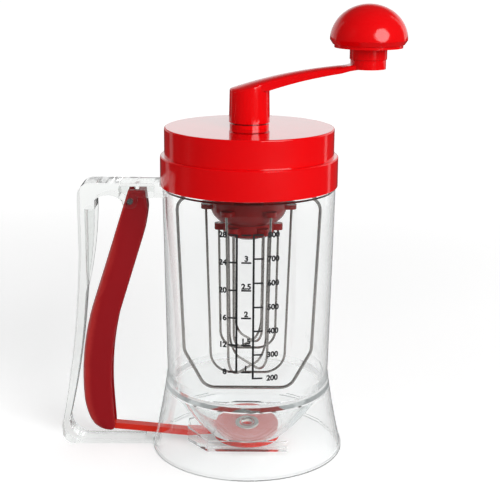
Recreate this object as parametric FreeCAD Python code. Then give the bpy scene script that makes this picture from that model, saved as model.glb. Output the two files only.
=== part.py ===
import FreeCAD, Part
import math
import os
from FreeCAD import Vector

# Hand-cranked batter dispenser, in millimetres.
# The jug's axis is Z and its base ring stands on z = 0. The handle lies towards -X.
# The stored pose has the trigger squeezed, the valve open and the crank towards +X.

# Jug: a clear vessel with a funnel floor inside a flared skirt
wall = 2.3
cut_spare = 1.0
base_ring_radius = 58.6
base_ring_height = 1.8
skirt_foot_radius = 57.9
skirt_middle_radius = 52.9
body_foot_radius = 49.2
body_foot_height = 49.0
body_top_radius = 51.3
shoulder_height = 164.0
shoulder_bevel = 0.5
neck_radius = 49.4
neck_height = 16.0
neck_taper_height = 2.0
funnel_top_height = 43.0
funnel_bulge = 1.6
cavity_top_height = 38.0
seat_pad_radius = 24.0
floor_rise_radius = 22.5
seat_height = 9.2
floor_thickness = 2.2
outlet_radius = 4.0

# Soft seal let into the jug's floor round the outlet
seal_inner_radius = 5.2
seal_outer_radius = 7.4
seal_groove_depth = 1.1
seal_proud = 0.2

# Lid
lid_clearance = 0.3
lid_gap = 0.4
lid_skirt_radius = 52.5
lid_step_rise = 2.0
lid_top_radius = 50.0
lid_top_rise = 18.4
lid_edge_round = 0.9
lid_deck = 2.4
gasket_thickness = 1.5
gasket_width = 2.6
gasket_gap = 0.1
boss_radius = 11.6
boss_rise = 2.1
boss_tube_radius = 9.6
boss_tube_drop = 14.0

# Shaft and its bearing
shaft_radius = 4.95
shaft_flat = 4.2
running_clearance = 0.05
bush_wall = 1.8
bush_flange_radius = 9.9
bush_flange = 0.6
thrust_gap = 0.2
washer_radius = 8.6
washer_thickness = 0.8
clip_radius = 7.6
clip_thickness = 0.9
clip_groove_depth = 0.9
clip_mouth = 5.0

# Crank
hub_bottom_radius = 12.0
hub_top_radius = 11.6
hub_height = 19.7
hub_bore_depth = 14.5
throw = 68.4
arm_boss_radius = 10.3
arm_boss_lift = 11.6
arm_boss_height = 5.4
arm_hub_top_drop = 0.5
arm_bend_x = 28.7
arm_middle_rise = 10.2
arm_end_rise = 14.3
arm_under_rise = 4.4
arm_root_half_width = 10.6
arm_waist_half_width = 7.4
arm_top_round = 1.3
arm_under_round = 0.6
arm_edge_tolerance = 0.5

# Knob
knob_gap = 0.2
knob_neck_radius = 10.8
knob_neck_height = 6.6
knob_lip_radius = 19.8
knob_lip_height = 1.9
knob_foot_overhang = 0.9
knob_widest_radius = 22.4
knob_widest_rise = 2.6
dome_rise = 20.3
dome_wall = 2.4
spindle_radius = 3.0
spindle_head_radius = 5.4
spindle_head_height = 1.8
spindle_tip_rise = 4.6
push_nut_radius = 6.2
push_nut_thickness = 1.0

# Whisk
bail_wire_radius = 1.0
loop_wire_radius = 0.75
upper_sleeve_radius = 9.0
upper_sleeve_length = 16.0
upper_disc_drop = 20.0
upper_disc_height = 10.4
upper_disc_radius = 22.5
upper_tab_reach = 28.5
upper_tab_half_width = 3.6
upper_tab_thickness = 2.7
upper_bowl_depth = 7.6
upper_bowl_bulge = 1.4
upper_bowl_radius = 15.4
lower_tab_drop = 5.1
lower_bowl_depth = 2.9
lower_bowl_bulge = 0.85
lower_bowl_radius = 12.6
lower_tab_reach = 20.4
lower_tab_half_width = 3.0
lower_tab_thickness = 3.9
arms_per_hub = 6
bail_drop = 3.5
bail_radius = 43.2
bail_corner = 8.0
bail_lean = 2.4
bail_waist_height = 60.0
bail_foot_radius = 26.0
bail_foot_height = 36.0
bail_foot_corner = 10.0
bail_grip = 7.0
mid_loop_radius = 25.6
mid_loop_lean = 1.7
mid_loop_foot_height = 46.0
mid_loop_corner = 13.0
inner_loop_radius = 17.8
inner_loop_lean = 0.9
inner_loop_foot_height = 62.0
inner_loop_corner = 11.0
loop_stagger = 3.2
whisk_screw_head_radius = 7.4
whisk_screw_head_height = 2.2
whisk_screw_radius = 2.0
whisk_screw_grip = 14.0
whisk_screw_head_round = 0.9
whisk_screw_slot_half = 0.7
whisk_screw_slot_depth = 0.9

# Valve: a round gate plate with a pull arm, in a clear guide under the jug
gate_radius = 20.5
gate_thickness = 4.2
gate_gap = 0.4
gate_travel = 12.0
gate_side_clearance = 0.4
arm_width = 6.0
arm_depth = 3.8
arm_link_drop = 3.3
arm_bend_spare = 1.0
gate_edge_round = 0.5
eye_radius = 4.2
guide_wall = 2.0
guide_lip = 3.2
guide_lip_thickness = 1.5
guide_length = 24.0
sleeve_end_half_width = 6.2
sleeve_end_drop = 6.3
sleeve_end_rise = 3.4
sleeve_wall = 1.5
slot_half_width = 3.9
slot_drop = 2.3
slot_rise = 6.9

# Handle
handle_top_rise = 2.0
handle_half_width = 10.0
strap_half_width = 6.0
handle_waist_height = 60.0
handle_shoulder_drop = 16.0
cheek = 2.1
handle_back_x = -101.0
handle_top_corner = 8.0
handle_bend_height = 124.0
handle_foot_x = -114.7
handle_foot_corner = 7.6
handle_foot_height = 12.0
strap_thickness = 4.0
strap_outer_bow = 2.2
strap_inner_bow = 1.7
strap_foot_thickening = 0.6
foot_inner_length = 10.4
foot_inner_height = 12.8
foot_inner_bulge = 3.1
grip_bow = 1.5
bar_thickness = 3.4
cheek_depth = 8.5
arch_centre_x = -82.9
arch_radius = 12.0
arch_drop = 7.3
grip_depth = 10.2
grip_flare_height = 98.0
lug_radius = 4.6
end_barrel_radius = 3.2
end_barrel_reach = 1.9
end_wall = 3.0

# Trigger, its pivot and its link
pivot_x = -69.8
pivot_drop = 10.9
pivot_pin_radius = 1.75
pivot_head_radius = 2.6
pivot_head_height = 0.7
pivot_pin_proud = 0.3
trigger_half_width = 7.0
trigger_wall = 2.0
trigger_round = 1.6
trigger_front_wall = 2.3
trigger_head_rise = 6.2
trigger_head_front = 1.3
trigger_head_back = 8.8
trigger_foot_drop = 5.8
trigger_bend_share = 0.45
trigger_bend_depth = 15.2
trigger_belly_share = 0.89
trigger_belly_depth = 14.5
trigger_toe_depth = 9.1
trigger_toe_rise = 1.6
trigger_heel_depth = 6.5
trigger_heel_drop = 2.2
trigger_foot_back = 3.5
trigger_back_depth = 3.4
trigger_waist_share = 0.51
trigger_waist_depth = 1.0
trigger_shoulder_share = 0.17
trigger_shoulder_depth = 9.5
trigger_neck_share = 0.036
trigger_neck_depth = 10.7
link_x = -88.5
link_z = 14.6
link_pin_radius = 1.25
link_clearance = 0.2
link_drop = 1.6
spring_radius = 2.7
spring_wire_radius = 0.45
spring_turns = 5
spring_pitch = 1.15
spring_stop_drop = 1.5
spring_stop_length = 2.0
spring_swing = 0.8


def line(a, b):
    return Part.makeLine(Vector(*a), Vector(*b))


def arc(a, b, c):
    return Part.Arc(Vector(*a), Vector(*b), Vector(*c)).toShape()


def bulged(a, b, amount):
    """Middle of the chord a-b, moved sideways to its right by amount."""
    du = b[0] - a[0]
    dv = b[1] - a[1]
    length = math.hypot(du, dv)
    return (0.5 * (a[0] + b[0]) + amount * dv / length, 0.5 * (a[1] + b[1]) - amount * du / length)


def following_arc(start, heading, end):
    """Middle of the arc that leaves start along heading and reaches end, and its last heading."""
    chord = math.atan2(end[1] - start[1], end[0] - start[0])
    turn = math.remainder(chord - heading, 2 * math.pi)
    length = math.hypot(end[0] - start[0], end[1] - start[1])
    rise = 0.5 * length * math.tan(0.5 * turn)
    middle = (0.5 * (start[0] + end[0]) + rise * math.sin(chord),
              0.5 * (start[1] + end[1]) - rise * math.cos(chord))
    return middle, chord + turn


def flat_face(path, place):
    """Face from a closed path of points.

    A lone point ends a straight run. A pair of points is an arc's middle and its end, and
    a pair that starts with None is an arc that carries on smoothly from the run before it.
    """
    edges = []
    here = path[0]
    heading = 0.0
    for step in path[1:] + [path[0]]:
        if isinstance(step[0], tuple) or step[0] is None:
            middle, end = step
            if middle is None:
                middle, heading = following_arc(here, heading, end)
            edges.append(arc(place(here), place(middle), place(end)))
            here = end
        elif step != here:
            edges.append(line(place(here), place(step)))
            heading = math.atan2(step[1] - here[1], step[0] - here[0])
            here = step
    return Part.Face(Part.Wire(edges))


def turned(path):
    """Solid of revolution about Z from a path of (radius, height)."""
    face = flat_face(path, lambda p: (p[0], 0, p[1]))
    return face.revolve(Vector(0, 0, 0), Vector(0, 0, 1), 360)


def side_plate(path, half_width, centre_y=0.0):
    """Plate across Y from a path of (x, z)."""
    face = flat_face(path, lambda p: (p[0], centre_y - half_width, p[1]))
    return face.extrude(Vector(0, 2 * half_width, 0))


def front_plate(path, x_low, x_high):
    """Plate along X from a path of (y, z)."""
    face = flat_face(path, lambda p: (x_low, p[0], p[1]))
    return face.extrude(Vector(x_high - x_low, 0, 0))


def block(x_low, x_high, y_half, z_low, z_high):
    corner = Vector(x_low, -y_half, z_low)
    return Part.makeBox(x_high - x_low, 2 * y_half, z_high - z_low, corner)


def upright(radius, z_low, z_high, x=0.0, y=0.0):
    return Part.makeCylinder(radius, z_high - z_low, Vector(x, y, z_low))


def cross_pin(radius, x, z, half_length):
    return Part.makeCylinder(radius, 2 * half_length, Vector(x, -half_length, z), Vector(0, 1, 0))


def spun(shape, degrees):
    copy = shape.copy()
    copy.rotate(Vector(0, 0, 0), Vector(0, 0, 1), degrees)
    return copy


def rounded(shape, radius, wanted):
    """Fillet the edges that wanted picks by their middle point."""
    edges = []
    for edge in shape.Edges:
        middle = edge.valueAt(0.5 * (edge.FirstParameter + edge.LastParameter))
        if wanted(middle, edge):
            edges.append(edge)
    return shape.makeFillet(radius, edges)


def bent_wire(points, corner_radii, radius):
    """Round wire along straight runs joined by tangent arcs."""
    edges = []
    here = points[0]
    for before, corner, after, bend in zip(points, points[1:], points[2:], corner_radii):
        back = (before - corner).normalize()
        ahead = (after - corner).normalize()
        half_turn = 0.5 * (math.pi - back.getAngle(ahead))
        reach = bend * math.tan(half_turn)
        start = corner + back * reach
        end = corner + ahead * reach
        inward = (back + ahead).normalize()
        middle = corner + inward * (bend / math.cos(half_turn) - bend)
        edges.append(Part.makeLine(here, start))
        edges.append(Part.Arc(start, middle, end).toShape())
        here = end
    edges.append(Part.makeLine(here, points[-1]))
    path = Part.Wire(edges)
    start_circle = Part.makeCircle(radius, points[0], points[1] - points[0])
    tube = path.makePipeShell([Part.Wire([start_circle])], True, False)
    return tube


# Heights and radii that follow from the sizes above
rim_height = shoulder_height + neck_height
floor_height = seat_height + floor_thickness
seal_groove_top = seat_height + seal_groove_depth
body_inner_top_radius = body_top_radius - wall
neck_inner_radius = neck_radius - wall
body_inner_foot_radius = body_foot_radius - wall
lid_bottom = shoulder_height + lid_gap
lid_step_height = rim_height + lid_step_rise
lid_top_height = rim_height + lid_top_rise
lid_bore = neck_radius + lid_clearance
gasket_bottom = rim_height + gasket_gap
gasket_top = gasket_bottom + gasket_thickness
gasket_inner_radius = neck_radius - gasket_width
deck_bottom = lid_top_height - lid_deck
boss_top = lid_top_height + boss_rise
boss_bottom = lid_top_height - boss_tube_drop
bore_radius = shaft_radius + running_clearance
bush_radius = bore_radius + bush_wall
hub_bottom = boss_top + bush_flange + thrust_gap
hub_top = hub_bottom + hub_height
hub_bore_top = hub_bottom + hub_bore_depth
arm_boss_bottom = hub_top + arm_boss_lift
arm_boss_top = arm_boss_bottom + arm_boss_height
clip_top = boss_bottom - thrust_gap - washer_thickness
clip_bottom = clip_top - clip_thickness
gate_top = seat_height - gate_gap
gate_bottom = gate_top - gate_thickness
arm_low_height = 0.5 * (gate_bottom + gate_top)
arm_bend_out_x = -(seat_pad_radius + gate_travel + arm_bend_spare)
arm_slope = (link_z - arm_link_drop - arm_low_height) / (link_x - arm_bend_out_x)
slot_bottom = arm_low_height - slot_drop
slot_top = arm_low_height + slot_rise
sleeve_end_bottom = seat_height - sleeve_end_drop
sleeve_end_top = seat_height + sleeve_end_rise
upper_disc_top = rim_height - upper_disc_drop
upper_sleeve_top = upper_disc_top + upper_sleeve_length
upper_tab_bottom = upper_disc_top - upper_disc_height
upper_bowl_bottom = upper_tab_bottom - upper_bowl_depth
lower_tab_bottom = upper_bowl_bottom - lower_tab_drop
lower_bowl_bottom = lower_tab_bottom - lower_bowl_depth
bail_height = upper_disc_top - bail_drop
handle_top = shoulder_height + handle_top_rise
handle_shoulder_height = handle_top - handle_shoulder_drop
cheek_bottom = handle_top - cheek_depth
arch_top = handle_top - arch_drop
pivot_z = handle_top - pivot_drop
trigger_top = pivot_z + trigger_head_rise
trigger_bottom = link_z - trigger_foot_drop
lid_keep_out = lid_skirt_radius + 2 * lid_clearance
knob_bottom = arm_boss_top + knob_gap
lip_bottom = knob_bottom + knob_neck_height
lip_top = lip_bottom + knob_lip_height
widest_height = lip_top + knob_widest_rise
dome_top = widest_height + dome_rise
knob_foot_radius = knob_lip_radius + knob_foot_overhang
spindle_top = lip_top + spindle_tip_rise
spring_leg_x = pivot_x + spring_radius


def jug_outline():
    """Outside of the jug from the neck down to the base ring, as (radius, height)."""
    skirt_bend_height = 0.5 * (base_ring_height + body_foot_height)
    return [
        (neck_radius, rim_height),
        (neck_radius, shoulder_height),
        (body_top_radius - shoulder_bevel, shoulder_height),
        (body_top_radius, shoulder_height - shoulder_bevel),
        (body_foot_radius, body_foot_height),
        ((skirt_middle_radius, skirt_bend_height), (skirt_foot_radius, base_ring_height)),
        (base_ring_radius, base_ring_height),
        (base_ring_radius, 0.0),
    ]


def skirt_inner_radius(height):
    """Inside of the skirt, one wall in from the straight line between its ends, bowed like it."""
    share = (height - base_ring_height) / (body_foot_height - base_ring_height)
    straight = skirt_foot_radius + (body_foot_radius - skirt_foot_radius) * share
    bow = 0.5 * (skirt_foot_radius + body_foot_radius) - skirt_middle_radius
    return straight - bow * 4 * share * (1 - share) - wall


def jug():
    funnel_foot = (floor_rise_radius, floor_height)
    funnel_mouth = (body_inner_foot_radius, funnel_top_height)
    pad_edge = (seat_pad_radius, seat_height)
    cavity_inner = (skirt_inner_radius(cavity_top_height) - wall, cavity_top_height)
    cavity_outer = (skirt_inner_radius(cavity_top_height), cavity_top_height)
    skirt_middle = 0.5 * cavity_top_height
    profile = jug_outline() + [
        (skirt_inner_radius(0.0), 0.0),
        ((skirt_inner_radius(skirt_middle), skirt_middle), cavity_outer),
        cavity_inner,
        (bulged(cavity_inner, pad_edge, -funnel_bulge), pad_edge),
        (seal_outer_radius, seat_height),
        (seal_outer_radius, seal_groove_top),
        (seal_inner_radius, seal_groove_top),
        (seal_inner_radius, seat_height),
        (outlet_radius, seat_height),
        (outlet_radius, floor_height),
        funnel_foot,
        (bulged(funnel_foot, funnel_mouth, funnel_bulge), funnel_mouth),
        (body_inner_top_radius, shoulder_height - neck_taper_height),
        (neck_inner_radius, shoulder_height),
        (neck_inner_radius, rim_height),
    ]
    solid = turned(profile)
    slot = block(-base_ring_radius - wall, -seat_pad_radius - eye_radius - wall,
                 slot_half_width, slot_bottom, slot_top)
    vessel = turned([(0, floor_height), funnel_foot, (floor_rise_radius, rim_height), (0, rim_height)])
    funnel_body = Part.makeCone(seat_pad_radius, skirt_inner_radius(cavity_top_height) - wall,
                                cavity_top_height - seat_height, Vector(0, 0, seat_height))
    return solid.cut(slot.cut(funnel_body).cut(vessel))


def jug_envelope():
    """The jug's outside filled solid, for what is bonded to it."""
    return turned([(0, rim_height)] + jug_outline() + [(0, 0)])


def outlet_seal():
    low = seat_height - seal_proud
    ring = upright(seal_outer_radius, low, seal_groove_top)
    return ring.cut(upright(seal_inner_radius, low, seal_groove_top))


def lid():
    profile = [
        (lid_bore, lid_bottom),
        (lid_skirt_radius, lid_bottom),
        (lid_skirt_radius, lid_step_height - lid_edge_round),
        (None, (lid_skirt_radius - lid_edge_round, lid_step_height)),
        (lid_top_radius, lid_step_height),
        (lid_top_radius, lid_top_height - lid_edge_round),
        (None, (lid_top_radius - lid_edge_round, lid_top_height)),
        (boss_radius, lid_top_height),
        (boss_radius, boss_top),
        (bush_radius, boss_top),
        (bush_radius, boss_bottom),
        (boss_tube_radius, boss_bottom),
        (boss_tube_radius, deck_bottom),
        (gasket_inner_radius, deck_bottom),
        (gasket_inner_radius, gasket_top),
        (lid_bore, gasket_top),
    ]
    return turned(profile)


def lid_gasket():
    ring = upright(neck_radius, gasket_bottom, gasket_top)
    return ring.cut(upright(gasket_inner_radius, gasket_bottom, gasket_top))


def shaft_bush():
    sleeve = upright(bush_radius, boss_bottom, boss_top)
    flange = upright(bush_flange_radius, boss_top, boss_top + bush_flange)
    bore = upright(bore_radius, boss_bottom, boss_top + bush_flange)
    return sleeve.fuse(flange).cut(bore).removeSplitter()


def shaft_section(z_low, z_high):
    """Round shaft with two flats."""
    return upright(shaft_radius, z_low, z_high).common(
        block(-shaft_radius, shaft_radius, shaft_flat, z_low, z_high))


def drive_shaft():
    middle = upright(shaft_radius, upper_sleeve_top, hub_bottom)
    top = shaft_section(hub_bottom, hub_bore_top)
    bottom = shaft_section(lower_bowl_bottom, upper_sleeve_top)
    groove = upright(shaft_radius, clip_bottom, clip_top).cut(
        upright(shaft_radius - clip_groove_depth, clip_bottom, clip_top))
    thread = upright(whisk_screw_radius, lower_bowl_bottom, lower_bowl_bottom + whisk_screw_grip)
    return middle.fuse([top, bottom]).removeSplitter().cut(groove).cut(thread)


def shaft_washer():
    ring = upright(washer_radius, clip_top, clip_top + washer_thickness)
    return ring.cut(upright(bore_radius, clip_top, clip_top + washer_thickness))


def shaft_clip():
    ring = upright(clip_radius, clip_bottom, clip_top)
    hole = upright(shaft_radius - clip_groove_depth, clip_bottom, clip_top)
    mouth = block(0, clip_radius, 0.5 * clip_mouth, clip_bottom, clip_top)
    return ring.cut(hole).cut(mouth)


def arm_top_height(x):
    """Rough height of the arm's upper surface."""
    share = (x + hub_bottom_radius) / (throw + hub_bottom_radius)
    return hub_top - arm_hub_top_drop + arm_end_rise * share * (1.5 - 0.5 * share)


def crank():
    """Hub, swept arm and knob boss in one moulding."""
    arm_x = throw - 0.5 * arm_boss_radius
    top_start = (-hub_bottom_radius, hub_top - arm_hub_top_drop)
    top_middle = (arm_bend_x, hub_top + arm_middle_rise)
    top_end = (arm_x, hub_top + arm_end_rise)
    under_end = (arm_x, arm_boss_bottom)
    under_middle = (arm_bend_x, hub_top + arm_under_rise)
    under_start = (hub_top_radius, hub_top - arm_hub_top_drop)
    side = side_plate([
        top_start,
        (top_middle, top_end),
        under_end,
        (under_middle, under_start),
        (hub_bottom_radius, hub_bottom),
        (-hub_bottom_radius, hub_bottom),
    ], hub_bottom_radius)
    plan = [
        (0.0, -arm_root_half_width),
        ((0.5 * throw, -arm_waist_half_width), (throw, -arm_waist_half_width)),
        (throw, arm_waist_half_width),
        ((0.5 * throw, arm_waist_half_width), (0.0, arm_root_half_width)),
    ]
    plan_face = flat_face(plan, lambda p: (p[0], p[1], hub_top - arm_hub_top_drop))
    tall = dome_top - hub_bottom
    hub_taper = (hub_bottom_radius - hub_top_radius) / hub_height
    hub = Part.makeCone(hub_bottom_radius, hub_bottom_radius - hub_taper * tall, tall,
                        Vector(0, 0, hub_bottom))
    body = side.common(hub.fuse(plan_face.extrude(Vector(0, 0, tall))).removeSplitter())
    body = rounded(body, arm_top_round, lambda m, e: e.Length > arm_boss_radius and m.x < arm_x
                   and m.z > arm_top_height(m.x) - arm_edge_tolerance)
    body = rounded(body, arm_under_round, lambda m, e: e.Length > 2 * arm_boss_radius
                   and abs(m.y) > 0.5 * arm_waist_half_width and hub_top_radius < m.x < arm_x
                   and m.z < arm_top_height(m.x) - arm_top_round)
    boss = upright(arm_boss_radius, arm_boss_bottom, arm_boss_top, throw)
    solid = body.fuse(boss).removeSplitter()
    bore = shaft_section(hub_bottom, hub_bore_top)
    head = upright(spindle_head_radius, arm_boss_bottom, arm_boss_bottom + spindle_head_height, throw)
    shank = upright(spindle_radius, arm_boss_bottom, arm_boss_top, throw)
    return solid.cut(bore).cut(head).cut(shank)


def knob_spindle():
    head = upright(spindle_head_radius, arm_boss_bottom, arm_boss_bottom + spindle_head_height, throw)
    shank = upright(spindle_radius, arm_boss_bottom, spindle_top, throw)
    return head.fuse(shank).removeSplitter()


def knob_core():
    neck = upright(knob_neck_radius, knob_bottom, lip_bottom, throw)
    lip = upright(knob_lip_radius, lip_bottom, lip_top, throw)
    bore = upright(spindle_radius + running_clearance, knob_bottom, lip_top, throw)
    return neck.fuse(lip).removeSplitter().cut(bore)


def dome_solid(radius, foot, widest, rise):
    """Quarter ellipse over a short cone, turned about the knob's axis."""
    quarter = Part.makeSphere(radius, Vector(0, 0, 0), Vector(0, 0, 1), 0, 90, 360)
    stretch = FreeCAD.Matrix()
    stretch.A33 = rise / radius
    cap = quarter.transformGeometry(stretch)
    cap.translate(Vector(throw, 0, widest))
    cone = Part.makeCone(foot, radius, widest - lip_top, Vector(throw, 0, lip_top))
    return cap.fuse(cone)


def knob_dome():
    outer = dome_solid(knob_widest_radius, knob_foot_radius, widest_height, dome_rise)
    inner = dome_solid(knob_widest_radius - dome_wall, knob_foot_radius - dome_wall,
                       widest_height, dome_rise - dome_wall)
    return outer.cut(inner)


def push_nut():
    low = lip_top + knob_gap
    ring = upright(push_nut_radius, low, low + push_nut_thickness, throw)
    return ring.cut(upright(spindle_radius, low, low + push_nut_thickness, throw))


def hub_tab(reach, half_width, low, thickness):
    bar = Part.makeBox(reach - half_width, 2 * half_width, thickness, Vector(0, -half_width, low))
    return bar.fuse(upright(half_width, low, low + thickness, reach - half_width))


def hub_with_tabs(body, reach, half_width, low, thickness):
    tabs = []
    for step in range(arms_per_hub):
        tabs.append(spun(hub_tab(reach, half_width, low, thickness), 360.0 * step / arms_per_hub))
    return body.fuse(tabs).removeSplitter()


def loop_foot_radius(radius, lean, top, foot):
    return radius - math.tan(math.radians(lean)) * (top - foot)


def whisk_loop(radius, lean, top, foot, corner, degrees):
    """One wire loop: two leaning legs joined by a run under the axis."""
    foot_radius = loop_foot_radius(radius, lean, top, foot)
    points = [Vector(-radius, 0, top), Vector(-foot_radius, 0, foot),
              Vector(foot_radius, 0, foot), Vector(radius, 0, top)]
    return spun(bent_wire(points, [corner, corner], loop_wire_radius), degrees)


def bail_points():
    low_radius = loop_foot_radius(bail_radius, bail_lean, bail_height, bail_waist_height)
    right = [
        Vector(upper_disc_radius - bail_grip, 0, bail_height),
        Vector(bail_radius, 0, bail_height),
        Vector(low_radius, 0, bail_waist_height),
        Vector(bail_foot_radius, 0, bail_foot_height),
    ]
    left = [Vector(-p.x, 0, p.z) for p in reversed(right)]
    return right + left


def bail_wire():
    bends = [bail_corner, bail_foot_corner, bail_foot_corner]
    return bent_wire(bail_points(), bends + bends[::-1], bail_wire_radius)


def mid_loop(step):
    top = upper_tab_bottom + upper_tab_thickness
    foot = mid_loop_foot_height + loop_stagger * step
    return whisk_loop(mid_loop_radius, mid_loop_lean, top, foot, mid_loop_corner,
                      360.0 * step / arms_per_hub)


def inner_loop(step):
    top = lower_tab_bottom + lower_tab_thickness
    foot = inner_loop_foot_height + loop_stagger * step
    return whisk_loop(inner_loop_radius, inner_loop_lean, top, foot, inner_loop_corner,
                      360.0 * step / arms_per_hub)


def upper_hub(loops, bail):
    brim = (upper_disc_radius, upper_tab_bottom)
    bowl = (upper_bowl_radius, upper_bowl_bottom)
    body = turned([
        (0, upper_sleeve_top),
        (upper_sleeve_radius, upper_sleeve_top),
        (upper_sleeve_radius, upper_disc_top),
        (upper_disc_radius, upper_disc_top),
        brim,
        (bulged(brim, bowl, -upper_bowl_bulge), bowl),
        (0, upper_bowl_bottom),
    ])
    solid = hub_with_tabs(body, upper_tab_reach, upper_tab_half_width, upper_tab_bottom,
                          upper_tab_thickness)
    bore = shaft_section(upper_bowl_bottom, upper_sleeve_top)
    return solid.cut([bore, bail] + loops)


def lower_hub(loops):
    brim = (upper_bowl_radius, lower_tab_bottom)
    bowl = (lower_bowl_radius, lower_bowl_bottom)
    body = turned([
        (0, upper_bowl_bottom),
        (upper_bowl_radius, upper_bowl_bottom),
        brim,
        (bulged(brim, bowl, -lower_bowl_bulge), bowl),
        (0, lower_bowl_bottom),
    ])
    solid = hub_with_tabs(body, lower_tab_reach, lower_tab_half_width, lower_tab_bottom,
                          lower_tab_thickness)
    bore = shaft_section(lower_bowl_bottom, upper_bowl_bottom)
    return solid.cut([bore] + loops)


def whisk_screw():
    low = lower_bowl_bottom - whisk_screw_head_height
    head = upright(whisk_screw_head_radius, low, lower_bowl_bottom)
    head = rounded(head, whisk_screw_head_round, lambda m, e: abs(m.z - low) < 0.01)
    slot = block(-whisk_screw_head_radius, whisk_screw_head_radius, whisk_screw_slot_half,
                 low, low + whisk_screw_slot_depth)
    shank = upright(whisk_screw_radius, lower_bowl_bottom, lower_bowl_bottom + whisk_screw_grip)
    return head.cut(slot).fuse(shank)


def arm_height(x):
    """Height of the pull arm's centre line."""
    return arm_low_height + arm_slope * min(x - arm_bend_out_x, 0.0)


def gate():
    plate = upright(gate_radius, gate_bottom, gate_top)
    plate = rounded(plate, gate_edge_round, lambda m, e: abs(m.z - gate_bottom) < 0.01)
    inner_x = arm_width - gate_radius
    half = 0.5 * arm_depth
    beam = side_plate([
        (inner_x, gate_bottom + half),
        (inner_x, arm_low_height + half),
        (arm_bend_out_x, arm_low_height + half),
        (link_x, arm_height(link_x) + half),
        (link_x, arm_height(link_x) - half),
        (arm_bend_out_x, arm_low_height - half),
    ], 0.5 * arm_width)
    eye = cross_pin(eye_radius, link_x, link_z - 0.5 * link_drop, 0.5 * arm_width)
    hole_half = link_pin_radius + link_clearance
    high = link_z + link_clearance
    low = link_z - link_drop - link_clearance
    slot = block(link_x - hole_half, link_x + hole_half, 0.5 * arm_width, low, high)
    slot = slot.fuse([cross_pin(hole_half, link_x, low, 0.5 * arm_width),
                      cross_pin(hole_half, link_x, high, 0.5 * arm_width)])
    outlet = upright(outlet_radius, gate_bottom, gate_top)
    return plate.fuse([beam, eye]).removeSplitter().cut(outlet).cut(slot)


def sleeve_loft(near_half, near_low, near_high, far_half, far_low, far_high):
    """Tapered box tube from the guide's end to the sleeve's mouth."""
    def section(x, half, low, high):
        corners = [Vector(x, -half, low), Vector(x, half, low), Vector(x, half, high), Vector(x, -half, high)]
        return Part.makePolygon(corners + [corners[0]])
    return Part.makeLoft([section(-guide_length, near_half, near_low, near_high),
                          section(arm_bend_out_x, far_half, far_low, far_high)], True, True)


def valve_guide():
    inner_half = gate_radius + gate_side_clearance
    outer_half = inner_half + guide_wall
    lip_top_z = gate_bottom - thrust_gap
    lip_bottom_z = lip_top_z - guide_lip_thickness
    channel = block(-guide_length, guide_length, outer_half, lip_bottom_z, seat_height)
    channel = channel.cut(block(-guide_length, guide_length, inner_half, lip_top_z, seat_height))
    channel = channel.cut(block(-guide_length, guide_length, inner_half - guide_lip, lip_bottom_z, lip_top_z))
    shell = sleeve_loft(outer_half, lip_bottom_z, seat_height,
                        sleeve_end_half_width, sleeve_end_bottom, sleeve_end_top)
    hollow = sleeve_loft(inner_half, lip_top_z, seat_height - thrust_gap,
                         sleeve_end_half_width - sleeve_wall, sleeve_end_bottom + sleeve_wall,
                         sleeve_end_top - sleeve_wall)
    solid = channel.fuse(shell.cut(hollow)).removeSplitter()
    return solid


def handle_outline():
    """Side view of the whole handle, outside then inside, as (x, z)."""
    bend = (1 - math.sqrt(0.5))
    top_corner = (handle_back_x + bend * handle_top_corner, handle_top - bend * handle_top_corner)
    foot_corner = (handle_foot_x + bend * handle_foot_corner, bend * handle_foot_corner)
    arch_centre_z = arch_top - arch_radius
    grip_x = handle_back_x + grip_depth
    arch_left_z = arch_centre_z + math.sqrt(arch_radius ** 2 - (grip_x - arch_centre_x) ** 2)
    arch_right_x = pivot_x - lug_radius
    arch_right_z = arch_centre_z + math.sqrt(arch_radius ** 2 - (arch_right_x - arch_centre_x) ** 2)
    lug_right_x = pivot_x + math.sqrt(lug_radius ** 2 - (cheek_bottom - pivot_z) ** 2)
    strap_foot_x = handle_foot_x + strap_thickness + strap_foot_thickening
    outer_bend = (handle_back_x, handle_bend_height)
    outer_foot = (handle_foot_x, handle_foot_height)
    bar_end = (strap_foot_x + foot_inner_length, bar_thickness)
    inner_foot = (strap_foot_x, bar_thickness + foot_inner_height)
    grip_flare = (handle_back_x + strap_thickness - strap_foot_thickening, grip_flare_height)
    grip_top = (grip_x, handle_shoulder_height)
    return [
        (-body_foot_radius, handle_top),
        (handle_back_x + handle_top_corner, handle_top),
        (top_corner, (handle_back_x, handle_top - handle_top_corner)),
        outer_bend,
        (bulged(outer_bend, outer_foot, -strap_outer_bow), outer_foot),
        (handle_foot_x, handle_foot_corner),
        (foot_corner, (handle_foot_x + handle_foot_corner, 0.0)),
        (-body_foot_radius, 0.0),
        (-body_foot_radius, bar_thickness),
        bar_end,
        (bulged(bar_end, inner_foot, -foot_inner_bulge), inner_foot),
        (bulged(inner_foot, grip_flare, strap_inner_bow), grip_flare),
        (bulged(grip_flare, grip_top, grip_bow), grip_top),
        (grip_x, arch_left_z),
        ((arch_centre_x, arch_top), (arch_right_x, arch_right_z)),
        (arch_right_x, pivot_z),
        ((pivot_x, pivot_z - lug_radius), (lug_right_x, cheek_bottom)),
        (-body_foot_radius, cheek_bottom),
    ]


def handle_width(spare):
    """Front view of the handle: wide at the top bar, narrow from the waist down."""
    top = handle_top + cut_spare
    wide = handle_half_width - spare
    narrow = strap_half_width - spare
    return [
        (-wide, top), (-wide, handle_shoulder_height), (-narrow, handle_waist_height),
        (-narrow, -cut_spare), (narrow, -cut_spare), (narrow, handle_waist_height),
        (wide, handle_shoulder_height), (wide, top),
    ]


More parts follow.
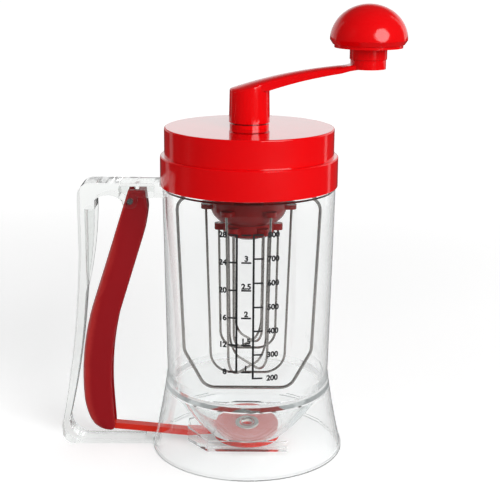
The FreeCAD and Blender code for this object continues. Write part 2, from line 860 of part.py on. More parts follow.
def handle():
    far = handle_foot_x - cut_spare
    solid = side_plate(handle_outline(), handle_half_width)
    solid = solid.common(front_plate(handle_width(0.0), far, 0))
    barrel = cross_pin(end_barrel_radius, -base_ring_radius - end_barrel_reach,
                       end_barrel_radius, strap_half_width)
    solid = solid.fuse(barrel).removeSplitter()
    ceiling = handle_top - cheek
    head_pocket = block(pivot_x - lug_radius - cheek, -lid_keep_out - end_wall, handle_half_width,
                        handle_waist_height, ceiling)
    grip_pocket = block(handle_back_x + strap_thickness, pivot_x - lug_radius - cheek, handle_half_width,
                        grip_flare_height + strap_thickness, handle_shoulder_height)
    inside = front_plate(handle_width(cheek), far, 0)
    solid = solid.cut([head_pocket.common(inside), grip_pocket.common(inside)])
    spring_stop = block(spring_leg_x + spring_wire_radius + link_clearance,
                        spring_leg_x + spring_wire_radius + link_clearance + spring_stop_length,
                        handle_half_width - cheek, ceiling - spring_stop_drop, ceiling)
    solid = solid.fuse(spring_stop).removeSplitter()
    keep_out = upright(lid_keep_out, shoulder_height, handle_top + cut_spare)
    pin_hole = cross_pin(pivot_pin_radius, pivot_x, pivot_z, handle_half_width)
    return solid.cut(jug_envelope()).cut(keep_out).cut(pin_hole)


def lever_point(share, depth):
    """A point at a share of the way from the pivot to the link pin, depth in front of that line."""
    return (pivot_x + (link_x - pivot_x) * share - depth, pivot_z + (link_z - pivot_z) * share)


def trigger_outline():
    """Side view of the trigger, down its smooth front edge and back up, as (x, z)."""
    return [
        (pivot_x + trigger_head_back, trigger_top),
        (pivot_x - trigger_head_front, trigger_top),
        lever_point(trigger_bend_share, trigger_bend_depth),
        (None, lever_point(trigger_belly_share, trigger_belly_depth)),
        (None, (link_x - trigger_toe_depth, link_z + trigger_toe_rise)),
        (None, (link_x, trigger_bottom)),
        (link_x + trigger_foot_back, trigger_bottom),
        (None, (link_x + trigger_heel_depth, link_z - trigger_heel_drop)),
        lever_point(trigger_belly_share, -trigger_back_depth),
        (None, lever_point(trigger_waist_share, -trigger_waist_depth)),
        lever_point(trigger_shoulder_share, -trigger_shoulder_depth),
        (None, lever_point(trigger_neck_share, -trigger_neck_depth)),
    ]


def trigger():
    solid = side_plate(trigger_outline(), trigger_half_width)
    solid = rounded(solid, trigger_round, lambda m, e: abs(abs(m.y) - trigger_half_width) < 0.01)
    inner_half = trigger_half_width - trigger_wall
    hollow = side_plate(trigger_outline(), inner_half)
    hollow.translate(Vector(trigger_front_wall, 0, 0))
    head_floor = pivot_z - spring_radius - 2 * trigger_wall
    hollow = hollow.common(block(handle_foot_x, pivot_x + 2 * arch_radius, inner_half,
                                 trigger_bottom + trigger_wall, head_floor))
    coil_half = 0.5 * spring_turns * spring_pitch + 2 * spring_wire_radius
    pocket_radius = spring_radius + spring_wire_radius + link_clearance
    pocket = cross_pin(pocket_radius, pivot_x, pivot_z, coil_half)
    leg_room = block(pivot_x, pivot_x + pocket_radius, coil_half, head_floor, pivot_z)
    top_room = block(pivot_x - pocket_radius, pivot_x + pocket_radius + spring_swing, coil_half,
                     pivot_z, trigger_top)
    foot_slot = block(link_x - eye_radius - 2 * link_clearance, link_x + 3 * eye_radius,
                      0.5 * arm_width + 2 * link_clearance, 0.0, link_z + eye_radius)
    pivot_hole = cross_pin(pivot_pin_radius + running_clearance, pivot_x, pivot_z, trigger_half_width)
    link_hole = cross_pin(link_pin_radius, link_x, link_z, trigger_half_width)
    return solid.cut([hollow, pocket, leg_room, top_room, foot_slot, pivot_hole, link_hole])


def pivot_pin():
    shank = cross_pin(pivot_pin_radius, pivot_x, pivot_z, handle_half_width + pivot_pin_proud)
    head = Part.makeCylinder(pivot_head_radius, pivot_head_height,
                             Vector(pivot_x, handle_half_width, pivot_z), Vector(0, 1, 0))
    return shank.fuse(head).removeSplitter()


def link_pin():
    return cross_pin(link_pin_radius, link_x, link_z, trigger_half_width - link_clearance)


def return_spring():
    """Torsion spring round the pivot: one leg up to the handle's stop, one down in the trigger."""
    length = spring_turns * spring_pitch
    steps = 4 * spring_turns

    def on_coil(step):
        angle = 2 * math.pi * step / 4
        return Vector(pivot_x + spring_radius * math.cos(angle), spring_pitch * step / 4 - 0.5 * length,
                      pivot_z - spring_radius * math.sin(angle))

    edges = []
    for step in range(steps):
        edges.append(Part.Arc(on_coil(step), on_coil(step + 0.5), on_coil(step + 1)).toShape())
    start = on_coil(0)
    end = on_coil(steps)
    leg_top = Vector(start.x, start.y, handle_top - cheek - link_clearance)
    leg_foot = Vector(end.x, end.y, pivot_z - spring_radius - trigger_wall)
    path = Part.Wire([Part.makeLine(leg_top, start)] + edges + [Part.makeLine(end, leg_foot)])
    ring = Part.Wire([Part.makeCircle(spring_wire_radius, leg_top, Vector(0, 0, 1))])
    return path.makePipeShell([ring], True, False)


def build():
    mids = [mid_loop(step) for step in range(arms_per_hub // 2)]
    inners = [inner_loop(step) for step in range(arms_per_hub // 2)]
    bail = bail_wire()
    nodes = {
        "jug": jug(),
        "handle": handle(),
        "outlet_seal": outlet_seal(),
        "valve_guide": valve_guide(),
        "pivot_pin": pivot_pin(),
        "return_spring": return_spring(),
        "trigger": trigger(),
        "link_pin": link_pin(),
        "gate": gate(),
        "lid": lid(),
        "lid_gasket": lid_gasket(),
        "shaft_bush": shaft_bush(),
        "shaft_washer": shaft_washer(),
        "shaft_clip": shaft_clip(),
        "drive_shaft": drive_shaft(),
        "crank": crank(),
        "knob_spindle": knob_spindle(),
        "push_nut": push_nut(),
        "knob_core": knob_core(),
        "knob_dome": knob_dome(),
        "upper_hub": upper_hub(mids, bail),
        "lower_hub": lower_hub(inners),
        "whisk_screw": whisk_screw(),
        "outer_wire": bail,
    }
    for number, loop in enumerate(mids, start=1):
        nodes["mid_wire_%d" % number] = loop
    for number, loop in enumerate(inners, start=1):
        nodes["inner_wire_%d" % number] = loop
    return nodes


os.makedirs("parts", exist_ok=True)
for name, shape in build().items():
    shape.exportStep("parts/" + name + ".step")
    print(name, "solids", len(shape.Solids), "valid", shape.isValid(), "volume", round(shape.Volume, 1))
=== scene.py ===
import math

import bmesh
import bpy
from mathutils import Matrix, Vector


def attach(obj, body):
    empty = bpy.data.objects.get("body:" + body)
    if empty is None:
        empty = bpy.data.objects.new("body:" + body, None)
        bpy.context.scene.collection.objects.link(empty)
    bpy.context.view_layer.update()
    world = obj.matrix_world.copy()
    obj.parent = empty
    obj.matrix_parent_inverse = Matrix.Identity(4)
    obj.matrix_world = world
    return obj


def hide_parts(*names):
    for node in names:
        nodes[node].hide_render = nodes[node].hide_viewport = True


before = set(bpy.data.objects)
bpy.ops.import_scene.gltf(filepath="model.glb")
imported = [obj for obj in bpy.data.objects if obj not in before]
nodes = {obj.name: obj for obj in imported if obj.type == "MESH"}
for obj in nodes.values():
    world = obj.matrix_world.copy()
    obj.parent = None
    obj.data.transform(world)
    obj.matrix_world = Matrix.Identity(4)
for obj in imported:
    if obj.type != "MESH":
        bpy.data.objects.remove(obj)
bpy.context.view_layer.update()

MM = 0.001
X, Y, Z = 0, 1, 2

# Viewpoint, in the part's frame
EYE = Vector((0.0, -0.6869, 0.3038))
PITCH_DOWN = math.radians(14.694)
YAW = math.radians(0.079)
ROLL = math.radians(0.430)
LENS_MM = 84.96
SENSOR_MM = 36.0
NEAREST_SEEN = 0.01
FARTHEST_SEEN = 50.0

# World's level as plain light on the object, from either side, where 1 is white, and the
# sideways run between them
PLAIN_LEFT = 0.26
PLAIN_RIGHT = 0.60
PLAIN_RUN = (-0.8, 0.8)

# World's level in gloss, away from the white back wall, and the soft edges of that wall
# towards +Y and upwards
DIM_STUDIO = 0.07
BACK_WALL_EDGE = (0.45, 0.75)
BACK_WALL_TOP = (0.25, 0.6)

# Share of white that mirrors inside clear plastic keep where they face the back wall, and the
# run along Y over which the world and the floor turn into it
INNER_MIRROR = 0.85
WORLD_BEHIND = (-0.5, 0.2)
FLOOR_BEHIND = (-0.5, 0.1)

# Mirrored turns past which light caught inside clear plastic is let straight out, and the
# plastic's tint on light that goes straight through
TRAPPED_TURNS = 3.5
THROUGH_TINT = (0.93, 0.94, 0.94, 1.0)

# Floor's greys to the eye, in gloss and as it lights the object
FLOOR_DARK = (0.94, 0.94, 0.94)
FLOOR_LIGHT = (0.97, 0.97, 0.97)
FLOOR_IN_GLOSS = (0.12, 0.12, 0.12)
FLOOR_BOUNCE = (0.45, 0.45, 0.45)
FLOOR_REACH = 8.0

# Floor's glow that evens it out to white, and the distances that it grows between
FLOOR_LIFT_NEAR = 0.24
FLOOR_LIFT_FAR = 0.62
FLOOR_LIFT_RUN = (0.10, 1.2)

# Soft lamps: name, place, target, width, height, radiance, shape, shown in gloss
JUG_MIDDLE = (0.0, 0.0, 0.14)
LID_MIDDLE = (0.0, 0.0, 0.30)
TRIGGER_FOOT = (-0.09, 0.0, 0.08)
LAMPS = (
    ("key", (0.72, -0.95, 0.62), JUG_MIDDLE, 0.95, 0.95, 6.2, "ELLIPSE", True),
    ("fill", (-1.3, -0.8, 0.9), JUG_MIDDLE, 0.6, 0.9, 1.6, "RECTANGLE", False),
    ("left_low", (-0.38, -0.05, 0.11), TRIGGER_FOOT, 0.08, 0.18, 4.5, "RECTANGLE", False),
    ("left_strip", (-0.42, 0.28, 0.34), LID_MIDDLE, 0.09, 0.6, 0.45, "RECTANGLE", True),
    ("right_strip", (0.42, 0.24, 0.34), LID_MIDDLE, 0.06, 0.6, 0.8, "RECTANGLE", True),
)


class Value:
    """A shader socket that plain arithmetic works on."""

    def __init__(self, finish, socket):
        self.finish = finish
        self.socket = socket

    def maths(self, operation, first, second):
        return self.finish.node("ShaderNodeMath", dict(operation=operation), {0: first, 1: second})

    def __add__(self, other):
        return self.maths("ADD", self, other)

    def __sub__(self, other):
        return self.maths("SUBTRACT", self, other)

    def __rsub__(self, other):
        return self.maths("SUBTRACT", other, self)

    def __mul__(self, other):
        return self.maths("MULTIPLY", self, other)

    def __gt__(self, other):
        return self.maths("GREATER_THAN", self, other)

    def most(self, other):
        return self.maths("MAXIMUM", self, other)

    __radd__ = __add__
    __rmul__ = __mul__


class Finish:
    """One node material or world under construction."""

    def __init__(self, owner):
        self.owner = owner
        owner.use_nodes = True
        self.tree = owner.node_tree
        self.tree.nodes.clear()

    def node(self, kind, settings=None, values=None, out=0):
        """Adds a node: its settings first, then numbers or links for its sockets."""
        made = self.tree.nodes.new(kind)
        for name, value in (settings or {}).items():
            setattr(made, name, value)
        for name, value in (values or {}).items():
            if isinstance(value, Value):
                self.tree.links.new(value.socket, made.inputs[name])
            else:
                made.inputs[name].default_value = value
        return Value(self, made.outputs[out]) if len(made.outputs) else None

    def place(self, stretch=(1.0, 1.0, 1.0)):
        """Object coordinates, stretched."""
        spot = self.node("ShaderNodeTexCoord", out="Object")
        return self.node("ShaderNodeMapping", values={"Vector": spot, "Scale": stretch})

    def along(self, axis, vector):
        """One part of a vector, by the name of its axis."""
        return self.node("ShaderNodeSeparateXYZ", values={0: vector}, out=axis)

    def noise(self, scale, detail=2.0, roughness=0.5, stretch=(1.0, 1.0, 1.0)):
        """Noise about zero, from -0.5 to 0.5."""
        found = self.node("ShaderNodeTexNoise", values={
            "Vector": self.place(stretch), "Scale": scale, "Detail": detail,
            "Roughness": roughness})
        return found - 0.5

    def tint(self, factor, dark, light):
        """A colour between two, by a factor from 0 to 1."""
        ends = [end if isinstance(end, Value) else end + (1.0,) for end in (dark, light)]
        return self.node("ShaderNodeMix", dict(data_type="RGBA"),
                         {"Factor": factor, 6: ends[0], 7: ends[1]}, out=2)

    def grey(self, level):
        """A grey of a varying level."""
        return self.tint(level, (0.0, 0.0, 0.0), (1.0, 1.0, 1.0))

    def ray(self, kind):
        """One where the ray is of that kind, else zero. A depth counts the ray's turns."""
        return self.node("ShaderNodeLightPath", out=kind)

    def has_turned(self, kind):
        """One where the ray has taken any turn of that kind, else zero."""
        return self.ray(kind + " Depth") > 0.5

    def step_up(self, value, low, high):
        """Smooth step from zero at low to one at high."""
        return self.node("ShaderNodeMapRange", dict(interpolation_type="SMOOTHSTEP"), {
            "Value": value, "From Min": low, "From Max": high})

    def bump(self, height, distance):
        return self.node("ShaderNodeBump", values={
            "Height": height, "Distance": distance, "Strength": 1.0})

    def principled(self, values):
        return self.node("ShaderNodeBsdfPrincipled", values=values)

    def finish(self, surface, kind="ShaderNodeOutputMaterial"):
        self.node(kind, values={"Surface": surface})
        return self.owner


def new_finish(name):
    return Finish(bpy.data.materials.new(name))


def scaled(colour, share):
    return tuple(min(1.0, share * part) for part in colour)


def moulded(name, colour, roughness, wear=0.06, level_coat=0.0, shine=0.5, painted_highlight=None):
    """Moulded plastic: faint flow marks in the colour, fine handling wear in the gloss.

    level_coat is the extra polish of faces that look straight up. painted_highlight is a paler
    colour painted on faces towards -X. It is a painted highlight for light that falls on that
    side."""
    f = new_finish(name)
    flow = f.noise(38.0, detail=3.0, stretch=(1.0, 1.0, 0.45))
    handling = f.noise(420.0, detail=4.0, roughness=0.62)
    smears = f.noise(55.0)
    skin = f.noise(900.0)
    shade = f.tint(0.6 + 0.9 * flow, scaled(colour, 0.88), scaled(colour, 1.06))
    facing = f.node("ShaderNodeNewGeometry", out="Normal")
    # Painted highlight: faces towards -X get a paler colour, standing in for light that falls on
    # that side
    if painted_highlight:
        painted_highlight_facing = -1.0 * f.along("X", facing)
        shade = f.tint(f.step_up(painted_highlight_facing + 0.3 * smears, 0.05, 0.65), shade, painted_highlight)
    gloss = (roughness + wear * handling + 0.6 * wear * smears).most(0.02)
    return f.finish(f.principled({
        "Base Color": shade, "Roughness": gloss, "Normal": f.bump(skin + 3.0 * smears, 0.02 * MM),
        "IOR": 1.47, "Specular IOR Level": shine,
        "Coat Weight": level_coat * f.step_up(f.along("Z", facing), 0.97, 0.995),
        "Coat Roughness": 0.03, "Coat IOR": 1.5}))


def clear_plastic(name, colour):
    """Clear moulding that lets light through to what stands behind it."""
    f = new_finish(name)
    smears = f.noise(60.0, detail=3.0, roughness=0.6)
    ripple = f.noise(24.0, detail=1.0, stretch=(1.0, 1.0, 0.4))
    body = f.principled({
        "Base Color": f.tint(0.5 + 0.6 * smears, scaled(colour, 0.995), colour),
        "Roughness": (0.018 + 0.03 * smears).most(0.0), "IOR": 1.46,
        "Transmission Weight": 1.0, "Normal": f.bump(ripple, 0.06 * MM)})
    through = f.node("ShaderNodeBsdfTransparent", values={"Color": THROUGH_TINT})
    trapped = f.ray("Glossy Depth") > TRAPPED_TURNS
    return f.finish(f.node("ShaderNodeMixShader", values={
        0: f.ray("Is Shadow Ray").most(trapped), 1: body, 2: through}))


def metal(name, colour, roughness, stretch):
    """Drawn or turned steel, with the marks that the tool leaves along it."""
    f = new_finish(name)
    drawn = f.noise(700.0, detail=3.0, stretch=stretch)
    stains = f.noise(45.0)
    return f.finish(f.principled({
        "Base Color": f.tint(0.6 + 0.8 * drawn + 0.4 * stains, scaled(colour, 0.72), colour),
        "Metallic": 1.0, "Roughness": (roughness + 0.12 * drawn).most(0.04),
        "Normal": f.bump(drawn, 0.02 * MM)}))


def soft_rubber(name, colour):
    """Matt rubber with a fine grain."""
    f = new_finish(name)
    grain = f.noise(1500.0, detail=3.0)
    return f.finish(f.principled({
        "Base Color": f.tint(0.5 + grain, scaled(colour, 0.85), colour),
        "Roughness": 0.62 + 0.2 * grain, "Normal": f.bump(grain, 0.04 * MM)}))


def printed_ink():
    """Screen-printed ink, slightly uneven in cover."""
    f = new_finish("scale_ink")
    cover = f.noise(2600.0)
    return f.finish(f.principled({
        "Base Color": f.tint(0.5 + cover, (0.006, 0.006, 0.007), (0.02, 0.02, 0.022)),
        "Roughness": 0.42 + 0.2 * cover}))


# Finishes by the slot that a solid carries
GLOSS_RED = (0.755, 0.0006, 0.0022)
FINISHES = {
    "clear_plastic": clear_plastic("clear_plastic", (0.99, 0.995, 0.994)),
    "gloss_red": moulded("gloss_red", GLOSS_RED, 0.13, wear=0.05),
    # The trigger's paler colour on faces towards -X is a painted highlight
    "trigger_red": moulded("trigger_red", (0.30, 0.004, 0.008), 0.34, wear=0.1, shine=0.4,
                           painted_highlight=(0.50, 0.028, 0.026)),
    "gate_red": moulded("gate_red", (0.70, 0.026, 0.012), 0.24, shine=0.4),
    "hub_red": moulded("hub_red", (0.26, 0.008, 0.008), 0.26, shine=0.4),
    "steel": metal("steel", (0.62, 0.61, 0.60), 0.26, (1.0, 1.0, 6.0)),
    "wire_steel": metal("wire_steel", (0.46, 0.44, 0.42), 0.2, (1.0, 1.0, 0.03)),
    "seal_rubber": soft_rubber("seal_rubber", (0.78, 0.78, 0.75)),
}
HANDLE_FINISH = clear_plastic("handle_plastic", (0.935, 0.95, 0.94))
INK = printed_ink()

# Finishes of single pieces, in place of their slot's
OWN_FINISHES = {
    "lid": moulded("lid_gloss", GLOSS_RED, 0.10, wear=0.04, level_coat=1.0),
    "shaft_bush": FINISHES["hub_red"],
}


def dress_nodes():
    """Each carried-over solid takes its own finish or that of its slot."""
    for name, node in nodes.items():
        for slot in node.material_slots:
            slot_name = slot.material.name.split(".")[0]
            slot.material = OWN_FINISHES.get(name) or FINISHES[slot_name]


def put_in_scene(name, data):
    placed = bpy.data.objects.new(name, data)
    bpy.context.scene.collection.objects.link(placed)
    return placed


# Worked copies of solids, in millimetres
JOIN_WITHIN = 0.002
FLAT_DEGREES = 0.5
SHARP_DEGREES = 32
BEVEL_DEGREES = 34
BEVEL_STEPS = 3
HANDLE_BEVEL = 0.9

# Trigger: how deep its grip side rolls over, the share of its width left at the edge, and
# the heights between which the roll fades out towards the pivot. Its rows and columns of
# cuts each run from, to and by a step.
TRIGGER_ROLL = 6.5
TRIGGER_ROLL_LEFT = 0.30
TRIGGER_ROLL_FULL = 118.0
TRIGGER_ROLL_TOP = 146.0
TRIGGER_HEIGHTS = (8.0, 162.0, 2.0)
TRIGGER_DEPTHS = (-102.0, -60.0, 1.5)
TRIGGER_SLOPE_REACH = 3.0

# Crank: how far the sides of its arm's top drop below the middle, how deep that reaches, the
# arm's half width at two places, and where the crown fades out towards the knob. Its cuts
# run from, to and by a step too, and its top is measured along a narrow middle strip.
ARM_CROWN = 2.4
ARM_CROWN_DEPTH = 6.0
ARM_HALF_WIDTHS = ((0.0, 11.5), (60.0, 8.0))
ARM_CROWN_END = 51.0
ARM_BOSS_START = 59.0
ARM_WIDTHS = (-10.5, 10.5, 1.5)
ARM_LENGTHS = (-11.0, 61.0, 2.0)
ARM_MIDDLE_HALF = 3.0


def merged(node):
    """A joined-up copy of a carried-over solid, to be worked on."""
    bm = bmesh.new()
    bm.from_mesh(nodes[node].data)
    bmesh.ops.remove_doubles(bm, verts=bm.verts, dist=JOIN_WITHIN * MM)
    return bm


def sliced(bm, axis, low, high, step):
    """Cuts a mesh across an axis at even steps, so that it can be bent there."""
    normal = [0.0, 0.0, 0.0]
    normal[axis] = 1.0
    for count in range(int((high - low) / step) + 1):
        spot = [0.0, 0.0, 0.0]
        spot[axis] = (low + count * step) * MM
        bmesh.ops.bisect_plane(bm, geom=bm.verts[:] + bm.edges[:] + bm.faces[:],
                               dist=JOIN_WITHIN * MM, plane_co=spot, plane_no=normal)


def limit_line(bm, along, across, step, farther, wanted=None):
    """The outermost reach across an axis, between even stations along another."""
    stations = {}
    for vert in bm.verts:
        if wanted is None or wanted(vert.co):
            key = round(vert.co[along] / (step * MM))
            reach = vert.co[across]
            stations[key] = farther(stations.get(key, reach), reach)
    keys = sorted(stations)

    def reach_at(place):
        spot = min(max(place / (step * MM), keys[0]), keys[-1])
        below = max(key for key in keys if key <= spot)
        above = min(key for key in keys if key >= spot)
        share = 0.0 if above == below else (spot - below) / (above - below)
        return stations[below] * (1.0 - share) + stations[above] * share

    return reach_at


def clipped(share):
    return min(1.0, max(0.0, share))


def smooth_share(value, low, high):
    share = clipped((value - low) / (high - low))
    return share * share * (3.0 - 2.0 * share)


def stand_in(bm, node, name, body, finish, bevel=None):
    """Puts a worked copy in a solid's place, with crisp edges kept and the rest smooth."""
    bmesh.ops.recalc_face_normals(bm, faces=bm.faces)
    mesh = bpy.data.meshes.new(name)
    bm.to_mesh(mesh)
    bm.free()
    for face in mesh.polygons:
        face.use_smooth = True
    mesh.set_sharp_from_angle(angle=math.radians(SHARP_DEGREES))
    mesh.materials.append(finish)
    piece = put_in_scene(name, mesh)
    if bevel:
        eased = piece.modifiers.new("eased", "BEVEL")
        eased.width = bevel * MM
        eased.segments = BEVEL_STEPS
        eased.limit_method = "ANGLE"
        eased.angle_limit = math.radians(BEVEL_DEGREES)
    weighted = piece.modifiers.new("weighted", "WEIGHTED_NORMAL")
    weighted.keep_sharp = True
    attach(piece, body)
    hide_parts(node)


def trigger_lever():
    """Lever whose grip side rolls over into its faces."""
    bm = merged("trigger")
    sliced(bm, Z, *TRIGGER_HEIGHTS)
    sliced(bm, X, *TRIGGER_DEPTHS)
    edge = limit_line(bm, Z, X, TRIGGER_HEIGHTS[2], min)
    reach = TRIGGER_SLOPE_REACH * MM
    for vert in bm.verts:
        x, y, z = vert.co
        slope = (edge(z + reach) - edge(z - reach)) / (2 * reach)
        depth = (x - edge(z)) / math.sqrt(1.0 + slope * slope) / MM
        roll = math.sqrt(1.0 - (1.0 - clipped(depth / TRIGGER_ROLL)) ** 2)
        fade = 1.0 - smooth_share(z / MM, TRIGGER_ROLL_FULL, TRIGGER_ROLL_TOP)
        vert.co.y = y * (1.0 - fade * (1.0 - TRIGGER_ROLL_LEFT) * (1.0 - roll))
    stand_in(bm, "trigger", "trigger_lever", "trigger_unit", FINISHES["trigger_red"])


def crank_arm():
    """Crank whose arm is crowned along its top."""
    bm = merged("crank")
    sliced(bm, Y, *ARM_WIDTHS)
    sliced(bm, X, *ARM_LENGTHS)
    top = limit_line(bm, X, Z, ARM_LENGTHS[2], max, lambda co: abs(co.y) < ARM_MIDDLE_HALF * MM)
    (near_x, near_half), (far_x, far_half) = ARM_HALF_WIDTHS
    for vert in bm.verts:
        x, y, z = (value / MM for value in vert.co)
        if x > ARM_BOSS_START:
            continue
        half = near_half + (far_half - near_half) * clipped((x - near_x) / (far_x - near_x))
        below = top(vert.co.x) / MM - z
        share = max(0.0, 1.0 - below / ARM_CROWN_DEPTH)
        fade = 1.0 - smooth_share(x, ARM_CROWN_END, ARM_BOSS_START)
        vert.co.z -= ARM_CROWN * share * fade * (y / half) ** 2 * MM
    stand_in(bm, "crank", "crank_arm", "mixer", FINISHES["gloss_red"])


def eased_handle():
    """Handle with the soft edges of a clear moulding."""
    bm = merged("handle")
    bmesh.ops.dissolve_limit(bm, angle_limit=math.radians(FLAT_DEGREES), verts=bm.verts,
                             edges=bm.edges)
    stand_in(bm, "handle", "clear_handle", "jug_unit", HANDLE_FINISH, bevel=HANDLE_BEVEL)


# Jug's wall under the print: height and radius at either end of its taper
BODY_FOOT_Z = 49.0 * MM
BODY_FOOT_R = 49.2 * MM
NECK_FOOT_Z = 163.5 * MM
BODY_TOP_R = 51.3 * MM

# Printed scale, in millimetres on the unrolled front of the jug. The outer numbers stand
# beside their ticks and the middle ones on theirs.
SCALE_LIFT = 0.04 * MM
LINE_THICK = 1.2
TICK_THICK = 1.0
BAR_STEP = 1.0
DIGIT_TALL = 4.5
DIGIT_WEIGHT = 0.22
DIGIT_DROP = 0.35 * DIGIT_TALL
LEFT_LINE_X = -5.9
LEFT_TICK_X = LEFT_LINE_X - 5.4
LEFT_DIGITS_X = LEFT_LINE_X - 6.4
MIDDLE_TICK = (-3.9, 1.7)
MIDDLE_DIGITS_X = -1.1
MIDDLE_DIGITS_RISE = 0.9
RIGHT_LINE_X = 3.6
RIGHT_TICK_X = RIGHT_LINE_X + 5.0
RIGHT_DIGITS_X = RIGHT_LINE_X + 7.4
OUNCES = {28: 145.4, 24: 129.4, 20: 113.1, 16: 96.7, 12: 80.4, 8: 63.9}
CUPS = {"3": 24, "2.5": 20, "2": 16, "1.5": 12, "1": 8}
MILLILITRES = {800: 145.6, 700: 131.7, 600: 117.5, 500: 103.2, 400: 88.9, 300: 74.6, 200: 60.2}


def wall_radius(z):
    """Outside radius of the jug's tapered body at a height, in metres."""
    share = (z - BODY_FOOT_Z) / (NECK_FOOT_Z - BODY_FOOT_Z)
    return BODY_FOOT_R + (BODY_TOP_R - BODY_FOOT_R) * share


def wrapped(point):
    """A flat point (x, z) in millimetres, laid on the front of the jug."""
    z = point[1] * MM
    radius = wall_radius(z) + SCALE_LIFT
    angle = point[0] * MM / radius
    return Vector((radius * math.sin(angle), -radius * math.cos(angle), z))


def bar(bm, x_low, x_high, z_low, z_high):
    """A printed bar, cut across so that it follows the wall."""
    steps = max(1, math.ceil((x_high - x_low) / BAR_STEP))
    rows = []
    for step in range(steps + 1):
        x = x_low + (x_high - x_low) * step / steps
        rows.append([bm.verts.new((x, 0.0, z_low)), bm.verts.new((x, 0.0, z_high))])
    for a, b in zip(rows, rows[1:]):
        bm.faces.new((a[0], b[0], b[1], a[1]))


def tick(bm, x_low, x_high, z):
    bar(bm, x_low, x_high, z - 0.5 * TICK_THICK, z + 0.5 * TICK_THICK)


def digits(bm, words, x, z, align):
    """Plain figures as filled outlines, standing on z."""
    curve = bpy.data.curves.new("figures", "FONT")
    curve.body = words
    curve.size = DIGIT_TALL
    curve.align_x = align
    curve.resolution_u = 6
    curve.offset = DIGIT_WEIGHT
    holder = put_in_scene("figures", curve)
    bpy.context.view_layer.update()
    mesh = bpy.data.meshes.new_from_object(holder)
    mesh.transform(Matrix(((1, 0, 0, x), (0, 0, -1, 0), (0, 1, 0, z), (0, 0, 0, 1))))
    bm.from_mesh(mesh)
    bpy.data.objects.remove(holder)
    bpy.data.curves.remove(curve)
    bpy.data.meshes.remove(mesh)


def printed_scale():
    """Lines, ticks and plain numbers on the jug's front."""
    bm = bmesh.new()
    bar(bm, LEFT_LINE_X - LINE_THICK, LEFT_LINE_X, OUNCES[8], OUNCES[28])
    bar(bm, RIGHT_LINE_X - LINE_THICK, RIGHT_LINE_X, MILLILITRES[200], MILLILITRES[800])
    for ounces, z in OUNCES.items():
        tick(bm, LEFT_TICK_X, LEFT_LINE_X, z)
        digits(bm, str(ounces), LEFT_DIGITS_X, z - DIGIT_DROP, "RIGHT")
    tick(bm, *MIDDLE_TICK, OUNCES[28])
    for cups, ounces in CUPS.items():
        tick(bm, *MIDDLE_TICK, OUNCES[ounces])
        digits(bm, cups, MIDDLE_DIGITS_X, OUNCES[ounces] + MIDDLE_DIGITS_RISE, "CENTER")
    for volume, z in MILLILITRES.items():
        tick(bm, RIGHT_LINE_X - LINE_THICK, RIGHT_TICK_X, z)
        digits(bm, str(volume), RIGHT_DIGITS_X, z - DIGIT_DROP, "LEFT")
    for vert in bm.verts:
        vert.co = wrapped((vert.co.x, vert.co.z))
    mesh = bpy.data.meshes.new("printed_scale")
    bm.to_mesh(mesh)
    bm.free()
    mesh.materials.append(INK)
    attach(put_in_scene("printed_scale", mesh), "jug_unit")


def direct(f, behind):
    """One for what is seen straight or through clear plastic, and less where plastic mirrors it.

    behind is one towards the white back wall, at +Y, and zero towards -Y."""
    lit = f.has_turned("Diffuse")
    mirrored = f.has_turned("Glossy")
    through = f.ray("Is Camera Ray").most(f.has_turned("Transmission"))
    return through * (1.0 - lit) * (1.0 - mirrored * (1.0 - INNER_MIRROR * behind))


def floor():
    """Pale matt floor that keeps the object's shadow, and is evened out to white far off."""
    f = new_finish("floor")
    seen = direct(f, f.step_up(f.along("Y", f.place()), *FLOOR_BEHIND))
    grain = f.noise(900.0)
    pale = f.tint(0.5 + grain, FLOOR_DARK, FLOOR_LIGHT)
    unseen = f.tint(f.ray("Is Glossy Ray"), FLOOR_BOUNCE, FLOOR_IN_GLOSS)
    matt = f.principled({
        "Base Color": f.tint(seen, unseen, pale), "Roughness": 0.85, "Specular IOR Level": 0.0})
    away = f.node("ShaderNodeVectorMath", dict(operation="LENGTH"), {0: f.place()}, out="Value")
    rise = f.step_up(away, *FLOOR_LIFT_RUN)
    lift = FLOOR_LIFT_NEAR + (FLOOR_LIFT_FAR - FLOOR_LIFT_NEAR) * rise
    light = f.node("ShaderNodeEmission", values={"Color": f.grey(lift * seen), "Strength": 1.0})
    material = f.finish(f.node("ShaderNodeAddShader", values={0: matt, 1: light}))
    mesh = bpy.data.meshes.new("floor")
    corners = [(FLOOR_REACH * x, FLOOR_REACH * y, 0.0)
               for x, y in ((-1, -1), (1, -1), (1, 1), (-1, 1))]
    mesh.from_pydata(corners, [], [(0, 1, 2, 3)])
    mesh.materials.append(material)
    put_in_scene("floor", mesh)


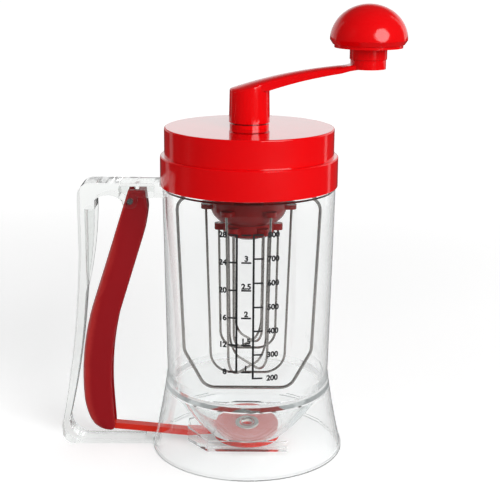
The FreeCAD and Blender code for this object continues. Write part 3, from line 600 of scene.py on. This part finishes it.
def studio_world():
    """White to the eye, dim with a white back wall in gloss, and a plain level as light."""
    world = bpy.data.worlds.new("studio")
    bpy.context.scene.world = world
    f = Finish(world)
    lit = f.has_turned("Diffuse")
    heading = f.node("ShaderNodeTexCoord", out="Generated")
    rightward, backward, upward = (f.along(axis, heading) for axis in "XYZ")
    seen = direct(f, f.step_up(backward, *WORLD_BEHIND))
    plain = PLAIN_LEFT + (PLAIN_RIGHT - PLAIN_LEFT) * f.step_up(rightward, *PLAIN_RUN)
    above = f.step_up(upward, *BACK_WALL_TOP)
    back_wall = f.step_up(backward, *BACK_WALL_EDGE) * (1.0 - above)
    gloss = DIM_STUDIO + (1.0 - DIM_STUDIO) * back_wall
    level = seen + (1.0 - seen) * (lit * plain + (1.0 - lit) * gloss)
    f.finish(f.node("ShaderNodeBackground", values={"Color": f.grey(level), "Strength": 1.0}),
             "ShaderNodeOutputWorld")


def soft_lamp(name, place, target, width, height, radiance, shape, glossy):
    """Soft light aimed at a point, hidden from the eye and from what is seen through plastic."""
    data = bpy.data.lights.new(name, "AREA")
    data.shape = shape
    data.size = width
    data.size_y = height
    area = width * height * (math.pi / 4 if shape == "ELLIPSE" else 1.0)
    data.energy = radiance * area * math.pi
    lamp = put_in_scene(name, data)
    lamp.location = place
    lamp.rotation_euler = (Vector(target) - Vector(place)).to_track_quat("-Z", "Y").to_euler()
    lamp.visible_camera = False
    lamp.visible_transmission = False
    lamp.visible_glossy = glossy


def camera():
    forward = Vector((math.sin(YAW) * math.cos(PITCH_DOWN), math.cos(YAW) * math.cos(PITCH_DOWN),
                      -math.sin(PITCH_DOWN)))
    right = Vector((math.cos(YAW), -math.sin(YAW), 0.0))
    up = right.cross(forward)
    turned_right = math.cos(ROLL) * right + math.sin(ROLL) * up
    turned_up = -math.sin(ROLL) * right + math.cos(ROLL) * up
    data = bpy.data.cameras.new("camera")
    data.lens = LENS_MM
    data.sensor_width = SENSOR_MM
    data.clip_start = NEAREST_SEEN
    data.clip_end = FARTHEST_SEEN
    holder = put_in_scene("camera", data)
    axes = Matrix((turned_right, turned_up, -forward)).transposed().to_4x4()
    holder.matrix_world = Matrix.Translation(EYE) @ axes
    bpy.context.scene.camera = holder


dress_nodes()
trigger_lever()
crank_arm()
eased_handle()
printed_scale()
floor()
studio_world()
for lamp in LAMPS:
    soft_lamp(*lamp)
camera()
scene = bpy.context.scene
scene.view_settings.view_transform = "Standard"
scene.cycles.max_bounces = 24
scene.cycles.transmission_bounces = 20
scene.cycles.glossy_bounces = 12
